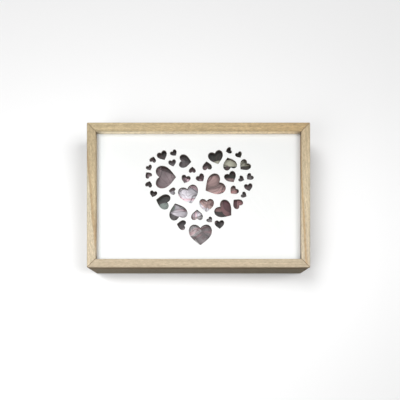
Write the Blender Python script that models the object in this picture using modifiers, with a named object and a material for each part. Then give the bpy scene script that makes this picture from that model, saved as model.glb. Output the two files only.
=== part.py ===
"""Wooden photo box: four mitred rails around a white board with heart cut-outs.

The box lies on its back. +Z is where its front faces, +Y runs up to its upper rail, and
the origin is the middle of the back, on the surface that the box rests on.
A printed card lies behind the board and shows through the hearts. Behind the card the box
is hollow, and a thin board in a rebate closes its back.
"""
import math

import bmesh
import bpy
from mathutils import Matrix, Vector

# Driving dimensions, in metres
WIDTH = 0.300
HEIGHT = 0.195
DEPTH = 0.040
RAIL_FACE = 0.012
OUTER_ROUND = 0.0015
INNER_ROUND = 0.0015
BOARD_RECESS = 0.006
BOARD_THICKNESS = 0.004
CARD_THICKNESS = 0.001
GROOVE_DEPTH = 0.0045
BACK_THICKNESS = 0.003
REBATE_WIDTH = 0.005
GAP = 0.0003

# Heights worked out from them, upwards from the back
BOARD_TOP = DEPTH - BOARD_RECESS
BOARD_BOTTOM = BOARD_TOP - BOARD_THICKNESS
CARD_TOP = BOARD_BOTTOM - GAP
CARD_BOTTOM = CARD_TOP - CARD_THICKNESS
GROOVE_TOP = BOARD_TOP + GAP
GROOVE_BOTTOM = CARD_BOTTOM - GAP
BACK_TOP = GAP + BACK_THICKNESS
REBATE_TOP = BACK_TOP + GAP

# The rails are cut a little oversize and trimmed by the rounded outer shape of the box
TRIM = 0.002

# How finely the round shapes are cut
ROUND_STEPS = 4
LARGE_HEART = 16
LARGE_HEART_STEPS = 6
SMALL_HEART_STEPS = 4
SHARP_ANGLE = 30
MERGE_DISTANCE = 0.000005

# One heart, in parts of its width: half of its outline from the notch to the tip, as
# (point, handle before, handle after). The middle of its height is at the origin.
HALF_HEART = (
    ((0.0, 0.29), (-0.05, 0.365), (0.05, 0.365)),
    ((0.265, 0.44), (0.14, 0.44), (0.405, 0.44)),
    ((0.5, 0.175), (0.5, 0.31), (0.5, -0.10)),
    ((0.03, -0.43), (0.264, -0.243), (0.012, -0.444)),
)

# The cut-outs: x and y of the middle and the width, in millimetres, and the turn in
# degrees, anticlockwise from a heart that stands on its tip
HEARTS = (
    # left lobe of the big heart, from its upper edge down
    (-33.5, 59.5, 9.5, 38),
    (-49, 56, 14, 26),
    (-62, 51, 9, 165),
    (-67, 39.5, 8.5, 27),
    (-68.5, 30, 9.5, 218),
    (-67.5, 17.5, 9.5, 162),
    (-61.5, 4, 10, -14),
    (-35.5, 46, 10.5, 15),
    (-44.5, 27, 31, 90),
    (-18, 48.5, 18.5, 85),
    (-36, 8, 10, -95),
    # the dip between the two lobes
    (-8.5, 37, 9.5, 180),
    (-17.5, 24, 12.5, -17),
    (3, 25.5, 12, 38),
    (11.5, 42.5, 13, 187),
    # right lobe
    (24, 53.5, 20.5, 17),
    (41, 63, 9, -74),
    (55, 57, 9.5, 28),
    (42, 45.5, 19, 198),
    (62.5, 42.5, 16, -47),
    (21, 15.5, 29.5, -59),
    (44, 26.5, 16.5, 29),
    (58.5, 24.5, 8.5, 67),
    (69.5, 27, 10, -48),
    (68, 13, 11.5, 12),
    (48, 8.5, 12.5, -47),
    (62, 2.5, 8.5, 62),
    # the taper down to the big heart's tip
    (-13, 3, 27.5, 16),
    (-48.5, -6, 21, -103),
    (-28.5, -19.5, 25, 197),
    (11, -11.5, 20, 0),
    (52.5, -8.5, 14.5, 225),
    (35.5, -18, 25.5, 52),
    (-2, -24.5, 16, 180),
    (-23.5, -38, 13.5, -100),
    (15.5, -31.5, 8.5, 45),
    (28.5, -37.5, 13, 4),
    (2.5, -51.5, 31.5, 0),
)
MILLIMETRE = 0.001

# Colours, linear
PALE_WOOD = (0.60, 0.47, 0.29)
WHITE_LACQUER = (0.88, 0.88, 0.86)
GREY_PRINT = (0.30, 0.25, 0.26)
BROWN_FIBREBOARD = (0.32, 0.20, 0.11)


def clear_scene():
    for old in list(bpy.data.objects):
        bpy.data.objects.remove(old, do_unlink=True)


def new_collection(name):
    collection = bpy.data.collections.new(name)
    bpy.context.scene.collection.children.link(collection)
    return collection


def surface(name, colour, roughness):
    """A plain material with one colour."""
    material = bpy.data.materials.new(name)
    material.use_nodes = True
    shader = material.node_tree.nodes["Principled BSDF"]
    shader.inputs["Base Color"].default_value = (*colour, 1.0)
    shader.inputs["Roughness"].default_value = roughness
    shader.inputs["Metallic"].default_value = 0.0
    return material


def flat_outline(name, thickness):
    """A filled, extruded 2D curve with no outline in it yet."""
    curve = bpy.data.curves.new(name, 'CURVE')
    curve.dimensions = '2D'
    curve.fill_mode = 'BOTH'
    curve.extrude = thickness / 2
    return curve


def add_polygon(curve, points):
    spline = curve.splines.new('POLY')
    spline.points.add(len(points) - 1)
    for point, (x, y) in zip(spline.points, points):
        point.co = (x, y, 0.0, 1.0)
    spline.use_cyclic_u = True


def heart_outline():
    """The whole heart: the right half from the notch to the tip, then the left half back."""
    right = list(HALF_HEART)
    left = []
    for (x, y), (before_x, before_y), (after_x, after_y) in reversed(right[1:]):
        left.append(((-x, y), (-after_x, after_y), (-before_x, before_y)))
    return right + left


def add_heart(curve, x, y, width, turn):
    """One heart cut-out in the board's outline, with its sizes in millimetres."""
    outline = heart_outline()
    place = (Matrix.Translation(Vector((x, y, 0.0)) * MILLIMETRE)
             @ Matrix.Rotation(math.radians(turn), 4, 'Z')
             @ Matrix.Scale(width * MILLIMETRE, 4))
    spline = curve.splines.new('BEZIER')
    spline.bezier_points.add(len(outline) - 1)
    for point, (corner, before, after) in zip(spline.bezier_points, outline):
        point.handle_left_type = 'FREE'
        point.handle_right_type = 'FREE'
        point.co = place @ Vector((*corner, 0.0))
        point.handle_left = place @ Vector((*before, 0.0))
        point.handle_right = place @ Vector((*after, 0.0))
    spline.use_cyclic_u = True
    spline.resolution_u = LARGE_HEART_STEPS if width > LARGE_HEART else SMALL_HEART_STEPS


def solid_from_curve(name, curve, collection, location, rotation=(0.0, 0.0, 0.0)):
    """The closed mesh of a filled curve, placed in the box."""
    flat = bpy.data.objects.new(name + "_outline", curve)
    flat.location = location
    flat.rotation_euler = rotation
    collection.objects.link(flat)
    bpy.context.view_layer.update()
    evaluated = flat.evaluated_get(bpy.context.evaluated_depsgraph_get())
    mesh = bpy.data.meshes.new_from_object(evaluated)
    mesh.name = name
    body = bmesh.new()
    body.from_mesh(mesh)
    bmesh.ops.remove_doubles(body, verts=body.verts, dist=MERGE_DISTANCE)
    bmesh.ops.recalc_face_normals(body, faces=body.faces)
    body.to_mesh(mesh)
    body.free()
    solid = bpy.data.objects.new(name, mesh)
    solid.matrix_world = flat.matrix_world.copy()
    collection.objects.link(solid)
    bpy.data.objects.remove(flat, do_unlink=True)
    return solid


def box_mesh(name, size):
    """A box about its own middle."""
    mesh = bpy.data.meshes.new(name)
    body = bmesh.new()
    bmesh.ops.create_cube(body, size=1.0, matrix=Matrix.Diagonal((*size, 1.0)))
    body.to_mesh(mesh)
    body.free()
    return mesh


def quarter_arc(centre, radius, steps):
    """Points from the arc's +X end to its +Y end."""
    points = []
    for step in range(steps + 1):
        angle = math.pi / 2 * step / steps
        points.append((centre[0] + radius * math.cos(angle), centre[1] + radius * math.sin(angle)))
    return points


def rail_section():
    """A rail's cross-section: inwards from the outer face, and upwards from the back."""
    rebate = RAIL_FACE - REBATE_WIDTH
    groove = RAIL_FACE - GROOVE_DEPTH
    middle = (RAIL_FACE - INNER_ROUND, DEPTH - INNER_ROUND)
    front_edge = quarter_arc(middle, INNER_ROUND, ROUND_STEPS)
    return [
        (-TRIM, -TRIM),
        (rebate, -TRIM),
        (rebate, REBATE_TOP),
        (RAIL_FACE, REBATE_TOP),
        (RAIL_FACE, GROOVE_BOTTOM),
        (groove, GROOVE_BOTTOM),
        (groove, GROOVE_TOP),
        (RAIL_FACE, GROOVE_TOP),
        *front_edge,
        (RAIL_FACE - INNER_ROUND, DEPTH + TRIM),
        (-TRIM, DEPTH + TRIM),
    ]


def cut_mitres(rail, half_length):
    """Both ends slope inwards at 45 degrees, half a gap short of the neighbours."""
    clearance = GAP / 2 * math.sqrt(2.0)
    for vertex in rail.data.vertices:
        reach = half_length - vertex.co.x - clearance
        vertex.co.z = math.copysign(reach, vertex.co.z)


def outer_shape(collection):
    """The outside of the whole box, with its edges rounded. It trims the rails."""
    cutter = bpy.data.objects.new("outer_shape", box_mesh("outer_shape", (WIDTH, HEIGHT, DEPTH)))
    cutter.location = (0.0, 0.0, DEPTH / 2)
    cutter.hide_render = True
    cutter.display_type = 'WIRE'
    collection.objects.link(cutter)
    rounding = cutter.modifiers.new("rounded_edges", 'BEVEL')
    rounding.width = OUTER_ROUND
    rounding.segments = ROUND_STEPS
    return cutter


def make_rail(name, side, length, distance, cutter, collection):
    """A mitred rail. Side counts quarter turns from the lower rail, anticlockwise."""
    curve = flat_outline(name, length)
    add_polygon(curve, rail_section())
    turn = math.pi / 2 * side
    middle = Matrix.Rotation(turn, 4, 'Z') @ Vector((0.0, -distance, 0.0))
    rail = solid_from_curve(name, curve, collection, middle, (math.pi / 2, 0.0, math.pi / 2 + turn))
    cut_mitres(rail, length / 2)
    trim = rail.modifiers.new("trim", 'BOOLEAN')
    trim.operation = 'INTERSECT'
    trim.solver = 'EXACT'
    trim.object = cutter
    return rail


def make_front_panel(collection):
    """The white board: its edges sit in the rails' groove, and the hearts go through it."""
    half_width = WIDTH / 2 - RAIL_FACE + GROOVE_DEPTH - GAP
    half_height = HEIGHT / 2 - RAIL_FACE + GROOVE_DEPTH - GAP
    curve = flat_outline("front_panel", BOARD_THICKNESS)
    add_polygon(curve, [(-half_width, -half_height), (half_width, -half_height),
                        (half_width, half_height), (-half_width, half_height)])
    for x, y, width, turn in HEARTS:
        add_heart(curve, x, y, width, turn)
    middle = (0.0, 0.0, (BOARD_TOP + BOARD_BOTTOM) / 2)
    return solid_from_curve("front_panel", curve, collection, middle)


def make_sheet(name, edge_cover, bottom, thickness, collection):
    """A plain flat sheet that reaches the given distance under or into the rails."""
    size = (WIDTH - 2 * (RAIL_FACE - edge_cover), HEIGHT - 2 * (RAIL_FACE - edge_cover), thickness)
    sheet = bpy.data.objects.new(name, box_mesh(name, size))
    sheet.location = (0.0, 0.0, bottom + thickness / 2)
    collection.objects.link(sheet)
    return sheet


def finish(piece, colour, roughness):
    """The piece's own material and shading."""
    piece.data.materials.append(surface(piece.name, colour, roughness))
    piece.data.shade_smooth()
    piece.data.set_sharp_from_angle(angle=math.radians(SHARP_ANGLE))


def main():
    clear_scene()
    parts = new_collection("photo_box")
    cutters = new_collection("cutters")
    cutter = outer_shape(cutters)

    rails = (
        ("rail_bottom", 0, WIDTH, HEIGHT / 2),
        ("rail_right", 1, HEIGHT, WIDTH / 2),
        ("rail_top", 2, WIDTH, HEIGHT / 2),
        ("rail_left", 3, HEIGHT, WIDTH / 2),
    )
    for name, side, length, distance in rails:
        finish(make_rail(name, side, length, distance, cutter, parts), PALE_WOOD, 0.6)

    finish(make_front_panel(parts), WHITE_LACQUER, 0.35)
    card = make_sheet("picture_card", GROOVE_DEPTH - GAP, CARD_BOTTOM, CARD_THICKNESS, parts)
    finish(card, GREY_PRINT, 0.4)
    back = make_sheet("back_board", REBATE_WIDTH - GAP, GAP, BACK_THICKNESS, parts)
    finish(back, BROWN_FIBREBOARD, 0.7)


main()
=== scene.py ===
"""Wooden photo box: the finishes of its rails, board, card and back, and the studio.

The box lies on its back. +Z is where its front faces and +Y runs up to its upper rail.
The rails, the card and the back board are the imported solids. The white board is made again
here with smoother hearts, softened rims and the brown that a laser cutter leaves on the walls
of the cut-outs.
"""
import math

import bmesh
import bpy
from mathutils import Matrix, Vector


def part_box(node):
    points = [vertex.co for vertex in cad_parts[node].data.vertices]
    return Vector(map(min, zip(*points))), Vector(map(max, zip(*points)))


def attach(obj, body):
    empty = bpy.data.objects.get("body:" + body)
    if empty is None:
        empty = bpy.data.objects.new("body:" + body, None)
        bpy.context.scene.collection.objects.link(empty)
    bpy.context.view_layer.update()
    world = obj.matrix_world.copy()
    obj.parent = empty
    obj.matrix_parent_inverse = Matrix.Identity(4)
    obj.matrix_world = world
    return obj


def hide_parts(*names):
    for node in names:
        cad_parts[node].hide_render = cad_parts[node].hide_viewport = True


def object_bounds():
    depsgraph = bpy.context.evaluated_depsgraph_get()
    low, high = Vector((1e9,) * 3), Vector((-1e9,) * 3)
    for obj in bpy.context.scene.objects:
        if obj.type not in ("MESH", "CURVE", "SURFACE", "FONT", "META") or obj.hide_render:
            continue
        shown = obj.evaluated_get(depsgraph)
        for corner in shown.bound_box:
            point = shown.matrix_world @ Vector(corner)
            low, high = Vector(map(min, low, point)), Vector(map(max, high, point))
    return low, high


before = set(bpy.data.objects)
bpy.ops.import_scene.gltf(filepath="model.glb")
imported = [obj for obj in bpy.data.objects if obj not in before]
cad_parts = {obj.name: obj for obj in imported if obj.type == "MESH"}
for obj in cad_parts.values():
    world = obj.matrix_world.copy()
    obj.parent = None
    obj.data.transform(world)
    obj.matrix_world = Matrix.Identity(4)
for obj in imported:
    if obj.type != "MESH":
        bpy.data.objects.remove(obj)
cad_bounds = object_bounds()

MILLIMETRE = 0.001

# The box, in millimetres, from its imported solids
box_high = cad_bounds[1]
HALF_WIDTH = box_high.x / MILLIMETRE
HALF_HEIGHT = box_high.y / MILLIMETRE
BOX_DEPTH = box_high.z / MILLIMETRE
RAIL_FACE = (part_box("rail_top")[1].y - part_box("rail_top")[0].y) / MILLIMETRE
board_low, board_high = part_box("front_panel")

# One heart, in parts of its width: half of its outline from the notch to the tip, as
# (point, handle before, handle after). The middle of its height is at the origin.
HALF_HEART = (
    ((0.0, 0.29), (-0.05, 0.365), (0.05, 0.365)),
    ((0.265, 0.44), (0.14, 0.44), (0.405, 0.44)),
    ((0.5, 0.175), (0.5, 0.31), (0.5, -0.10)),
    ((0.03, -0.43), (0.264, -0.243), (0.012, -0.444)),
)

# The cut-outs: x and y of the middle and the width, in millimetres, and the turn in
# degrees, anticlockwise from a heart that stands on its tip
HEARTS = (
    # left lobe of the big heart, from its upper edge down
    (-33.5, 59.5, 9.5, 38), (-49, 56, 14, 26), (-62, 51, 9, 165), (-67, 39.5, 8.5, 27),
    (-68.5, 30, 9.5, 218), (-67.5, 17.5, 9.5, 162), (-61.5, 4, 10, -14),
    (-35.5, 46, 10.5, 15), (-44.5, 27, 31, 90), (-18, 48.5, 18.5, 85), (-36, 8, 10, -95),
    # the dip between the two lobes
    (-8.5, 37, 9.5, 180), (-17.5, 24, 12.5, -17), (3, 25.5, 12, 38), (11.5, 42.5, 13, 187),
    # right lobe
    (24, 53.5, 20.5, 17), (41, 63, 9, -74), (55, 57, 9.5, 28), (42, 45.5, 19, 198),
    (62.5, 42.5, 16, -47), (21, 15.5, 29.5, -59), (44, 26.5, 16.5, 29),
    (58.5, 24.5, 8.5, 67), (69.5, 27, 10, -48), (68, 13, 11.5, 12), (48, 8.5, 12.5, -47),
    (62, 2.5, 8.5, 62),
    # the taper down to the big heart's tip
    (-13, 3, 27.5, 16), (-48.5, -6, 21, -103), (-28.5, -19.5, 25, 197), (11, -11.5, 20, 0),
    (52.5, -8.5, 14.5, 225), (35.5, -18, 25.5, 52), (-2, -24.5, 16, 180),
    (-23.5, -38, 13.5, -100), (15.5, -31.5, 8.5, 45), (28.5, -37.5, 13, 4),
    (2.5, -51.5, 31.5, 0),
)

# Colours of the wood and of the white board
SAPWOOD = (0.487, 0.409, 0.287)
HEARTWOOD = (0.456, 0.354, 0.218)
LATE_WOOD_TINT = (0.87, 0.80, 0.75)
FLECK_BROWN = (0.275, 0.175, 0.100)
PORE_BROWN = (0.230, 0.150, 0.085)
GLUE_BROWN = (0.200, 0.125, 0.070)
# painted shade on the white board beside its rails
PAINTED_SHADE_BY_THE_RAIL = (0.700, 0.722, 0.722)
NO_TINT = (1.0, 1.0, 1.0)

# The white board's build, in metres
RIM = 0.0003
WELD_DISTANCE = 0.000005
RIM_STEPS = 2
CURVE_STEPS = 12
SMOOTH_ANGLE = 30

# How far down the walls of the cut-outs, in millimetres, the white stops and the brown is full
WHITE_ENDS = 0.4
BROWN_FULL = 1.2

# The wood's measures, in millimetres
BOUNDARY_BLUR = 0.8
RING_SLOPE = 0.6
CORNER_SHADE = 12.0
BROWN_BAND = (12.0, 7.0)

FLOOR_HALF_SIZE = 8.0
FLOOR_GAP = 0.0002


# ---------------------------------------------------------------- building finishes

class Finish:
    """A material that is built up node by node on a Principled shader."""

    def __init__(self, name):
        self.material = bpy.data.materials.new(name)
        self.material.use_nodes = True
        self.tree = self.material.node_tree
        self.shader = self.tree.nodes["Principled BSDF"]
        self.place = self.tree.nodes.new("ShaderNodeTexCoord").outputs["Object"]

    def feed(self, socket, value):
        if isinstance(value, bpy.types.NodeSocket):
            self.tree.links.new(value, socket)
        else:
            socket.default_value = value

    def mapped(self, source, location=(0, 0, 0), turn=0.0, scale=(1, 1, 1)):
        node = self.tree.nodes.new("ShaderNodeMapping")
        node.inputs["Location"].default_value = location
        node.inputs["Rotation"].default_value = (0.0, 0.0, math.radians(turn))
        node.inputs["Scale"].default_value = scale
        self.feed(node.inputs["Vector"], source)
        return node.outputs["Vector"]

    def noise(self, source, scale=1.0, detail=3.0, roughness=0.5, distortion=0.0):
        node = self.tree.nodes.new("ShaderNodeTexNoise")
        self.feed(node.inputs["Vector"], source)
        node.inputs["Scale"].default_value = scale
        node.inputs["Detail"].default_value = detail
        node.inputs["Roughness"].default_value = roughness
        node.inputs["Distortion"].default_value = distortion
        return node.outputs["Fac"]

    def calc(self, operation, first, second=0.0):
        node = self.tree.nodes.new("ShaderNodeMath")
        node.operation = operation
        self.feed(node.inputs[0], first)
        self.feed(node.inputs[1], second)
        return node.outputs[0]

    def remap(self, value, low, high, to_low=0.0, to_high=1.0):
        node = self.tree.nodes.new("ShaderNodeMapRange")
        node.interpolation_type = 'SMOOTHSTEP'
        self.feed(node.inputs["Value"], value)
        node.inputs["From Min"].default_value = low
        node.inputs["From Max"].default_value = high
        node.inputs["To Min"].default_value = to_low
        node.inputs["To Max"].default_value = to_high
        return node.outputs["Result"]

    def mix(self, amount, first, second, how='MIX'):
        node = self.tree.nodes.new("ShaderNodeMix")
        node.data_type = 'RGBA'
        node.blend_type = how
        self.feed(node.inputs[0], amount)
        for socket, value in ((node.inputs[6], first), (node.inputs[7], second)):
            self.feed(socket, value if isinstance(value, bpy.types.NodeSocket) else (*value, 1.0))
        return node.outputs[2]

    def shade(self, colour, value, strength):
        """Darkens and lightens a colour by a 0 to 1 pattern, about its middle."""
        grey = self.remap_linear(value, 1.0 - strength, 1.0 + strength)
        return self.mix(1.0, colour, grey, 'MULTIPLY')

    def remap_linear(self, value, to_low, to_high):
        node = self.tree.nodes.new("ShaderNodeMapRange")
        self.feed(node.inputs["Value"], value)
        node.inputs["To Min"].default_value = to_low
        node.inputs["To Max"].default_value = to_high
        return node.outputs["Result"]

    def parts(self, source):
        node = self.tree.nodes.new("ShaderNodeSeparateXYZ")
        self.feed(node.inputs[0], source)
        return node.outputs

    def bump(self, height, strength, distance):
        node = self.tree.nodes.new("ShaderNodeBump")
        node.inputs["Strength"].default_value = strength
        node.inputs["Distance"].default_value = distance
        self.feed(node.inputs["Height"], height)
        self.tree.links.new(node.outputs["Normal"], self.shader.inputs["Normal"])

    def surface(self, colour, roughness):
        self.feed(self.shader.inputs["Base Color"], colour)
        self.feed(self.shader.inputs["Roughness"], roughness)


# ---------------------------------------------------------------- finishes

def pale_wood(name, turn, shift, heart, tones, painted_ledge_light_and_shade=NO_TINT, edge=NO_TINT, figure=1.0):
    """Sanded pale wood: cream sapwood and browner heartwood that meet along the grain, with
    growth rings, brown flecks, short mottle, fine streaks, pores, and a thin dark glue line
    at the mitres. The heart is where the heartwood starts and ends across the grain, with a
    darker line at its start. The tones are those at the start, middle and end of the rail,
    the tint of the inner face above the board is painted light where it lightens and painted
    shade where it darkens, edge tints the outer side just below the front, and figure is how
    strongly the grain shows. The outer sides and the outermost 1.6 mm of the front are
    darkened as painted shade, and the inner face darkens towards the inner corners as painted
    shade."""
    wood = Finish(name)
    millimetres = wood.mapped(wood.place, scale=(1 / MILLIMETRE,) * 3)
    x, y, z = wood.parts(millimetres)
    beside_x = wood.calc('ABSOLUTE', x)
    beside_y = wood.calc('ABSOLUTE', y)
    grain = wood.mapped(millimetres, turn=turn)
    lengthwise = wood.mapped(grain, location=(*shift, 0.0))

    wander = wood.noise(wood.mapped(lengthwise, scale=(0.012, 0.08, 0.08)), detail=3,
                        roughness=0.55)
    ring_tilt = wood.calc('MULTIPLY', wood.calc('SUBTRACT', z, BOX_DEPTH), RING_SLOPE)
    across_grain = wood.calc('ADD', wood.calc('ADD', wood.parts(grain)[1], ring_tilt),
                             wood.remap_linear(wander, -3.5, 3.5))
    first, last = heart
    heartwood = wood.calc(
        'MULTIPLY',
        wood.remap(across_grain, first - BOUNDARY_BLUR, first + BOUNDARY_BLUR),
        wood.remap(across_grain, last - BOUNDARY_BLUR, last + BOUNDARY_BLUR, 1.0, 0.0))
    late_wood = wood.remap(wood.calc('ABSOLUTE', wood.calc(
        'SUBTRACT', across_grain, first + 1.4)), 0.4, 2.4)
    rings = wood.noise(wood.mapped(lengthwise, scale=(0.009, 0.42, 0.42)), detail=2,
                       distortion=0.4)
    mottle = wood.noise(wood.mapped(lengthwise, scale=(0.26, 0.66, 0.66)), detail=3,
                        roughness=0.6)
    flecks = wood.remap(wood.noise(wood.mapped(lengthwise, scale=(0.16, 0.80, 0.80)),
                                   detail=3, roughness=0.6), 0.56, 0.70)
    streaks = wood.noise(wood.mapped(lengthwise, scale=(0.09, 1.9, 1.9)), detail=4,
                         roughness=0.6)
    fibres = wood.noise(wood.mapped(lengthwise, scale=(0.05, 4.2, 4.2)), detail=4,
                        roughness=0.65)
    pores = wood.remap(wood.noise(wood.mapped(lengthwise, scale=(0.22, 5.5, 5.5)), detail=2),
                       0.62, 0.72)

    colour = wood.mix(heartwood, SAPWOOD, HEARTWOOD)
    colour = wood.mix(1.0, colour, wood.mix(late_wood, LATE_WOOD_TINT, NO_TINT),
                      'MULTIPLY')
    colour = wood.shade(colour, rings, 0.28 * figure)
    colour = wood.mix(wood.calc('MULTIPLY', flecks, 0.40 * figure), colour, FLECK_BROWN)
    colour = wood.shade(colour, mottle, 0.42 * figure)
    colour = wood.shade(colour, streaks, 0.36 * figure)
    colour = wood.shade(colour, fibres, 0.24)
    colour = wood.mix(wood.calc('MULTIPLY', pores, 0.40), colour, PORE_BROWN)

    # across and along this rail
    across, border = (beside_x, HALF_WIDTH) if turn else (beside_y, HALF_HEIGHT)
    along, end_border = (beside_y, HALF_HEIGHT) if turn else (beside_x, HALF_WIDTH)
    place = y if turn else x
    start, middle, end = tones
    tone = wood.mix(wood.remap(place, -end_border, 0.0), start, middle)
    tone = wood.mix(wood.remap(place, 0.0, end_border), tone, end)
    colour = wood.mix(1.0, colour, tone, 'MULTIPLY')

    # Painted light and shade on the inner face above the board: the tint lightens it on the upper
    # rail and darkens it on the side rails, and it falls to half towards the inner corners as
    # painted shade.
    inner_side = wood.remap(across, border - RAIL_FACE, border - RAIL_FACE + 1.0, 1.0, 0.0)
    inside = wood.calc('MULTIPLY', inner_side,
                       wood.remap(z, BOX_DEPTH - 1.6, BOX_DEPTH - 0.6, 1.0, 0.0))
    corner = wood.remap(along, end_border - RAIL_FACE - CORNER_SHADE, end_border - RAIL_FACE)
    painted_corner_shade = wood.mix(corner, painted_ledge_light_and_shade, tuple(part * 0.5 for part in painted_ledge_light_and_shade))
    colour = wood.mix(inside, colour, wood.mix(1.0, colour, painted_corner_shade, 'MULTIPLY'))

    from_outside = wood.calc('MINIMUM', wood.calc('SUBTRACT', HALF_WIDTH, beside_x),
                             wood.calc('SUBTRACT', HALF_HEIGHT, beside_y))
    # Painted shade: the outer sides and the outermost 1.6 mm of the front are darkened to 0.86.
    painted_edge_shade = wood.remap(from_outside, 0.1, 1.6, 0.86, 1.0)
    colour = wood.mix(1.0, colour, painted_edge_shade, 'MULTIPLY')
    uneven_z = wood.calc('ADD', z, wood.remap_linear(wander, -4.0, 4.0))
    below_arris = wood.calc('MULTIPLY', wood.remap(from_outside, 0.1, 0.5, 1.0, 0.0),
                            wood.remap(uneven_z, BOX_DEPTH - BROWN_BAND[0],
                                       BOX_DEPTH - BROWN_BAND[1]))
    colour = wood.mix(below_arris, colour, wood.mix(1.0, colour, edge, 'MULTIPLY'))

    from_mitre = wood.calc('ABSOLUTE', wood.calc(
        'SUBTRACT', wood.calc('SUBTRACT', beside_x, beside_y), HALF_WIDTH - HALF_HEIGHT))
    glue = wood.remap(from_mitre, 0.25, 0.80, 0.75, 0.0)
    colour = wood.mix(glue, colour, GLUE_BROWN)

    wood.surface(colour, wood.remap_linear(streaks, 0.62, 0.80))
    wood.shader.inputs["Specular IOR Level"].default_value = 0.25
    wood.bump(wood.calc('SUBTRACT', wood.calc('ADD', fibres, streaks), pores), 0.40, 0.00012)
    return wood.material


def white_lacquer():
    """Sprayed white board, greyed beside the left and lower rails as painted shade. The walls of
    its cut-outs are browned by the laser, below the white that reached over their rims."""
    lacquer = Finish("white_lacquer")
    millimetres = lacquer.mapped(lacquer.place, scale=(1 / MILLIMETRE,) * 3)
    cloud = lacquer.noise(millimetres, scale=0.02, detail=2)
    peel = lacquer.noise(millimetres, scale=1.1, detail=2)
    white = lacquer.mix(cloud, (0.770, 0.782, 0.776), (0.792, 0.794, 0.782))
    x, y, z = lacquer.parts(millimetres)
    # Painted shade: the board greys within about 16 mm of the left rail and 11 mm of the lower
    # rail.
    from_rail = lacquer.calc('MINIMUM', lacquer.calc('ADD', x, HALF_WIDTH - RAIL_FACE),
                             lacquer.calc('ADD', y, HALF_HEIGHT - RAIL_FACE + 5.0))
    white = lacquer.mix(lacquer.remap(from_rail, 2.0, 16.0, 1.0, 0.0), white, PAINTED_SHADE_BY_THE_RAIL)

    scorch = lacquer.tree.nodes.new("ShaderNodeAttribute")
    scorch.attribute_name = "scorch"
    upright = lacquer.mapped(millimetres, scale=(2.6, 2.6, 0.25))
    strokes = lacquer.noise(upright, detail=3, roughness=0.6)
    char = lacquer.mix(strokes, (0.055, 0.042, 0.036), (0.165, 0.130, 0.110))
    uneven = lacquer.noise(millimetres, scale=0.6, detail=2)
    edge = lacquer.calc('ADD', scorch.outputs["Fac"], lacquer.remap_linear(uneven, -0.25, 0.25))
    below_face = lacquer.calc('SUBTRACT', board_high.z / MILLIMETRE, z)
    bare = lacquer.remap(below_face, WHITE_ENDS, BROWN_FULL)
    burnt = lacquer.calc('MULTIPLY', lacquer.remap(edge, 0.20, 0.95), bare)

    lacquer.surface(lacquer.mix(burnt, white, char),
                    lacquer.remap(scorch.outputs["Fac"], 0.2, 0.9, 0.42, 0.85))
    lacquer.shader.inputs["Specular IOR Level"].default_value = 0.35
    lacquer.bump(peel, 0.10, 0.00005)
    return lacquer.material


def cells(finish, source, scale, feature='F1'):
    """Rounded cells on the flat of the print."""
    node = finish.tree.nodes.new("ShaderNodeTexVoronoi")
    node.voronoi_dimensions = '2D'
    node.feature = feature
    finish.feed(node.inputs["Vector"], source)
    node.inputs["Scale"].default_value = scale
    return node.outputs


def spread(finish, colour, place, chance, areas):
    """Lays broad soft-edged areas over a colour; the folds in them are darker or lighter."""
    for number, ((x, y), (reach_x, reach_y), dark, light) in enumerate(areas):
        round_spot = finish.tree.nodes.new("ShaderNodeTexGradient")
        round_spot.gradient_type = 'SPHERICAL'
        finish.feed(round_spot.inputs["Vector"], finish.mapped(
            place, location=(-x / reach_x, -y / reach_y, 0.0),
            scale=(1 / reach_x, 1 / reach_y, 0.0)))
        near = finish.calc('ADD', round_spot.outputs["Fac"],
                           finish.remap_linear(chance[(number + 1) % 3], -0.22, 0.22))
        tint = finish.mix(finish.remap(chance[(number + 2) % 3], 0.35, 0.65), dark, light)
        colour = finish.mix(finish.remap(near, 0.24, 0.27), colour, tint)
    return colour


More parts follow.
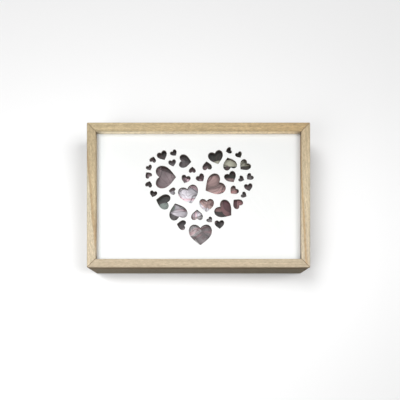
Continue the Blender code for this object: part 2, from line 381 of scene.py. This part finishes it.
def marbled_print():
    """A print of soft folded shapes in greys, mauves and dusty pinks, on satin paper."""
    paper = Finish("marbled_print")
    millimetres = paper.mapped(paper.place, scale=(1 / MILLIMETRE,) * 3)
    bend = paper.tree.nodes.new("ShaderNodeTexNoise")
    paper.feed(bend.inputs["Vector"], millimetres)
    bend.inputs["Scale"].default_value = 0.028
    bend.inputs["Detail"].default_value = 1.0
    pulled = paper.tree.nodes.new("ShaderNodeVectorMath")
    pulled.operation = 'MULTIPLY_ADD'
    paper.feed(pulled.inputs[0], bend.outputs["Color"])
    pulled.inputs[1].default_value = (46.0, 46.0, 0.0)
    paper.feed(pulled.inputs[2], millimetres)
    bent = pulled.outputs["Vector"]

    folds = cells(paper, bent, 0.042)
    chance = paper.parts(folds["Color"])
    creases = cells(paper, bent, 0.042, 'DISTANCE_TO_EDGE')
    tucks = cells(paper, bent, 0.100)

    colour = paper.mix(paper.remap(chance[0], 0.35, 0.65), (0.018, 0.016, 0.015),
                       (0.105, 0.095, 0.098))
    # middle and reach of each area in millimetres, and its two colours
    colour = spread(paper, colour, millimetres, chance, (
        ((-14, 2), (46, 36), (0.250, 0.225, 0.245), (0.560, 0.535, 0.580)),
        ((28, 8), (32, 28), (0.170, 0.100, 0.098), (0.350, 0.245, 0.235)),
        ((46, -14), (25, 22), (0.090, 0.038, 0.045), (0.280, 0.150, 0.155)),
        ((-46, 30), (34, 24), (0.060, 0.036, 0.038), (0.225, 0.175, 0.185)),
        ((2, -52), (42, 28), (0.150, 0.130, 0.135), (0.350, 0.330, 0.335)),
    ))
    sweeps = paper.noise(paper.mapped(bent, turn=-62, scale=(0.020, 0.110, 1.0)), detail=2)
    blush = paper.remap(sweeps, 0.55, 0.60, 0.0, 0.75)
    colour = paper.mix(blush, colour, paper.mix(1.0, colour, (1.30, 0.90, 0.93), 'MULTIPLY'))
    colour = spread(paper, colour, millimetres, chance, (
        ((-52, -6), (22, 16), (0.014, 0.016, 0.015), (0.030, 0.034, 0.032)),
        ((-44, -13), (16, 9), (0.180, 0.215, 0.198), (0.250, 0.290, 0.270)),
        ((44, 50), (44, 24), (0.012, 0.012, 0.008), (0.050, 0.048, 0.034)),
        ((46, 48), (44, 7), (0.230, 0.226, 0.170), (0.400, 0.395, 0.315)),
    ))

    strands = paper.noise(paper.mapped(bent, turn=28, scale=(0.03, 0.35, 1.0)), detail=4,
                          roughness=0.6)
    clouds = paper.noise(bent, scale=0.09, detail=4)
    colour = paper.shade(colour, strands, 0.50)
    colour = paper.shade(colour, clouds, 0.55)
    colour = paper.shade(colour, paper.parts(tucks["Color"])[0], 0.22)
    rounded = paper.remap(folds["Distance"], 0.10, 0.75, 1.20, 0.62)
    colour = paper.mix(1.0, colour, rounded, 'MULTIPLY')

    # fine curved lines along the folds, then the dark creases between them
    waves = paper.calc('MULTIPLY', paper.noise(bent, scale=0.035, detail=1), 11.0)
    from_line = paper.calc('ABSOLUTE', paper.calc('SUBTRACT', paper.calc('FRACT', waves), 0.5))
    lines = paper.remap(from_line, 0.02, 0.10, 0.60, 0.0)
    colour = paper.mix(lines, colour, (0.075, 0.040, 0.045))
    crease = paper.remap(creases["Distance"], 0.006, 0.030, 0.70, 0.0)
    colour = paper.mix(crease, colour, (0.030, 0.024, 0.026))

    paper.surface(colour, paper.remap_linear(clouds, 0.34, 0.46))
    paper.bump(paper.noise(millimetres, scale=4.0, detail=2), 0.08, 0.00003)
    return paper.material


def pressed_fibreboard():
    """Brown hardboard: matted fibres, lighter specks and a slight sheen."""
    board = Finish("pressed_fibreboard")
    millimetres = board.mapped(board.place, scale=(1 / MILLIMETRE,) * 3)
    cloud = board.noise(millimetres, scale=0.035, detail=3)
    fibres = board.noise(board.mapped(millimetres, turn=20, scale=(0.5, 2.2, 1.0)), detail=4,
                         roughness=0.7, distortion=1.2)
    specks = board.remap(board.noise(millimetres, scale=1.6, detail=2), 0.64, 0.74)
    colour = board.mix(cloud, (0.255, 0.150, 0.078), (0.345, 0.215, 0.120))
    colour = board.shade(colour, fibres, 0.35)
    colour = board.mix(board.calc('MULTIPLY', specks, 0.4), colour, (0.52, 0.38, 0.24))
    board.surface(colour, board.remap_linear(fibres, 0.58, 0.80))
    board.bump(fibres, 0.30, 0.00012)
    return board.material


# ---------------------------------------------------------------- the white board

def heart_outline():
    """The whole heart: the right half from the notch to the tip, then the left half back."""
    left = []
    for (x, y), (before_x, before_y), (after_x, after_y) in reversed(HALF_HEART[1:]):
        left.append(((-x, y), (-after_x, after_y), (-before_x, before_y)))
    return [*HALF_HEART, *left]


def add_heart(curve, x, y, width, turn):
    """One heart cut-out in the board's outline."""
    outline = heart_outline()
    place = (Matrix.Translation(Vector((x, y, 0.0)) * MILLIMETRE)
             @ Matrix.Rotation(math.radians(turn), 4, 'Z')
             @ Matrix.Scale(width * MILLIMETRE, 4))
    spline = curve.splines.new('BEZIER')
    spline.bezier_points.add(len(outline) - 1)
    for point, (corner, before, after) in zip(spline.bezier_points, outline):
        point.handle_left_type = 'FREE'
        point.handle_right_type = 'FREE'
        point.co = place @ Vector((*corner, 0.0))
        point.handle_left = place @ Vector((*before, 0.0))
        point.handle_right = place @ Vector((*after, 0.0))
    spline.use_cyclic_u = True
    spline.resolution_u = CURVE_STEPS


def board_outline():
    """The board as a filled flat curve with softened rims: its border, then the hearts."""
    curve = bpy.data.curves.new("heart_board", 'CURVE')
    curve.dimensions = '2D'
    curve.fill_mode = 'BOTH'
    curve.extrude = (board_high.z - board_low.z) / 2 - RIM
    curve.bevel_depth = RIM
    curve.bevel_resolution = RIM_STEPS
    curve.offset = -RIM
    border = curve.splines.new('POLY')
    border.points.add(3)
    corners = ((board_low.x, board_low.y), (board_high.x, board_low.y),
               (board_high.x, board_high.y), (board_low.x, board_high.y))
    for point, (x, y) in zip(border.points, corners):
        point.co = (x, y, 0.0, 1.0)
    border.use_cyclic_u = True
    for x, y, width, turn in HEARTS:
        add_heart(curve, x, y, width, turn)
    return curve


def scorch_rims(body):
    """Marks the walls of the cut-outs as burnt, and fades that out up their rounded rims."""
    burnt = body.verts.layers.float.new("scorch")
    for vertex in body.verts:
        below_face = min(board_high.z - vertex.co.z, vertex.co.z - board_low.z)
        vertex[burnt] = min(1.0, max(0.0, below_face / RIM))


def make_heart_board():
    flat = bpy.data.objects.new("heart_board_outline", board_outline())
    bpy.context.scene.collection.objects.link(flat)
    bpy.context.view_layer.update()
    evaluated = flat.evaluated_get(bpy.context.evaluated_depsgraph_get())
    mesh = bpy.data.meshes.new_from_object(evaluated)
    bpy.data.objects.remove(flat, do_unlink=True)

    body = bmesh.new()
    body.from_mesh(mesh)
    bmesh.ops.remove_doubles(body, verts=body.verts, dist=WELD_DISTANCE)
    bmesh.ops.translate(body, verts=body.verts,
                        vec=(0.0, 0.0, (board_low.z + board_high.z) / 2))
    bmesh.ops.recalc_face_normals(body, faces=body.faces)
    body.normal_update()
    scorch_rims(body)
    body.to_mesh(mesh)
    body.free()

    board = bpy.data.objects.new("heart_board", mesh)
    bpy.context.scene.collection.objects.link(board)
    mesh.materials.clear()
    mesh.materials.append(white_lacquer())
    mesh.shade_smooth()
    mesh.set_sharp_from_angle(angle=math.radians(SMOOTH_ANGLE))
    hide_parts("front_panel")
    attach(board, "root")


def refinish(node, material):
    """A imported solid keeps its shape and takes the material."""
    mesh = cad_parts[node].data
    mesh.materials.clear()
    mesh.materials.append(material)


# ---------------------------------------------------------------- the studio

def make_floor():
    sheet = bpy.data.meshes.new("floor")
    body = bmesh.new()
    bmesh.ops.create_grid(body, x_segments=1, y_segments=1, size=FLOOR_HALF_SIZE)
    bmesh.ops.translate(body, verts=body.verts, vec=(0.0, 0.0, -FLOOR_GAP))
    body.to_mesh(sheet)
    body.free()
    floor = bpy.data.objects.new("floor", sheet)
    bpy.context.scene.collection.objects.link(floor)
    paint = Finish("white_floor")
    paint.shader.inputs["Base Color"].default_value = (0.92, 0.92, 0.92, 1.0)
    paint.shader.inputs["Roughness"].default_value = 0.9
    sheet.materials.append(paint.material)
    floor.visible_diffuse = False


def make_softbox(name, location, width, height, power, aim=(0.0, 0.0, 0.02)):
    light = bpy.data.lights.new(name, 'AREA')
    light.shape = 'RECTANGLE'
    light.size = width
    light.size_y = height
    light.energy = power
    lamp = bpy.data.objects.new(name, light)
    lamp.location = location
    lamp.rotation_euler = (Vector(aim) - Vector(location)).to_track_quat('-Z', 'Y').to_euler()
    lamp.visible_camera = False
    bpy.context.scene.collection.objects.link(lamp)


def make_soft_light(name, bearing, tilt, spread, power):
    """A big far softbox: its bearing counts from +X, its tilt from straight overhead and its
    spread across, all in degrees."""
    light = bpy.data.lights.new(name, 'SUN')
    light.angle = math.radians(spread)
    light.energy = power
    lamp = bpy.data.objects.new(name, light)
    lamp.rotation_euler = (0.0, math.radians(tilt), math.radians(bearing))
    bpy.context.scene.collection.objects.link(lamp)


def make_backdrop():
    """A pale backdrop that shows behind the floor, and lights nothing by itself."""
    world = bpy.data.worlds.new("studio")
    bpy.context.scene.world = world
    world.use_nodes = True
    backdrop = world.node_tree.nodes["Background"]
    backdrop.inputs["Color"].default_value = (0.82, 0.82, 0.82, 1.0)
    backdrop.inputs["Strength"].default_value = 1.0
    world.cycles_visibility.diffuse = False


def make_camera():
    lens = bpy.data.cameras.new("camera")
    lens.sensor_fit = 'VERTICAL'
    lens.sensor_width = 4.2
    lens.sensor_height = 5.6
    lens.lens = 4.325
    lens.shift_y = 0.34
    lens.clip_start = 0.01
    camera = bpy.data.objects.new("camera", lens)
    camera.location = (0.0020, -0.1892, 0.454)
    bpy.context.scene.collection.objects.link(camera)
    bpy.context.scene.camera = camera


def main():
    make_camera()
    make_heart_board()
    # name, turn of the grain, shift of the pattern, heartwood across the grain, then the tones
    refinish("rail_bottom", pale_wood(
        "pale_wood_lower", 0, (0, 0), (-70, -60),
        ((0.93, 0.91, 0.925), (0.96, 0.943, 0.953), (0.99, 0.975, 0.98)),
        edge=(0.74, 0.66, 0.58), figure=0.9))
    refinish("rail_top", pale_wood(
        "pale_wood_upper", 0, (410, 33), (60, 200),
        ((1.06, 1.10, 1.09), (1.03, 1.02, 0.955), (1.00, 0.94, 0.82)),
        painted_ledge_light_and_shade=(1.78, 1.93, 2.30), figure=1.2))
    refinish("rail_left", pale_wood(
        "pale_wood_left", 84.7, (870, 71), (-144.6, 0),
        ((1.08, 1.07, 1.08), (1.07, 1.11, 1.13), (0.94, 0.97, 0.97)),
        painted_ledge_light_and_shade=(0.92, 0.90, 0.95), figure=1.2))
    refinish("rail_right", pale_wood(
        "pale_wood_right", 86.6, (1290, 127), (138.4, 140.6),
        ((1.10, 1.11, 1.16), (1.17, 1.165, 1.14), (1.02, 0.965, 0.88)),
        painted_ledge_light_and_shade=(0.65, 0.66, 0.75)))
    refinish("picture_card", marbled_print())
    refinish("back_board", pressed_fibreboard())

    make_floor()
    make_backdrop()
    make_soft_light("upper_left_light", 145, 42, 36, 1.60)
    make_soft_light("right_light", 0, 46, 36, 1.77)
    make_softbox("lower_left_light", (-0.45, -0.45, 0.50), 0.50, 0.50, 2.3)
    make_softbox("near_strip", (0.0, -0.06, 0.28), 0.60, 0.10, 0.36)
    scene = bpy.context.scene
    scene.view_settings.view_transform = 'Standard'


main()
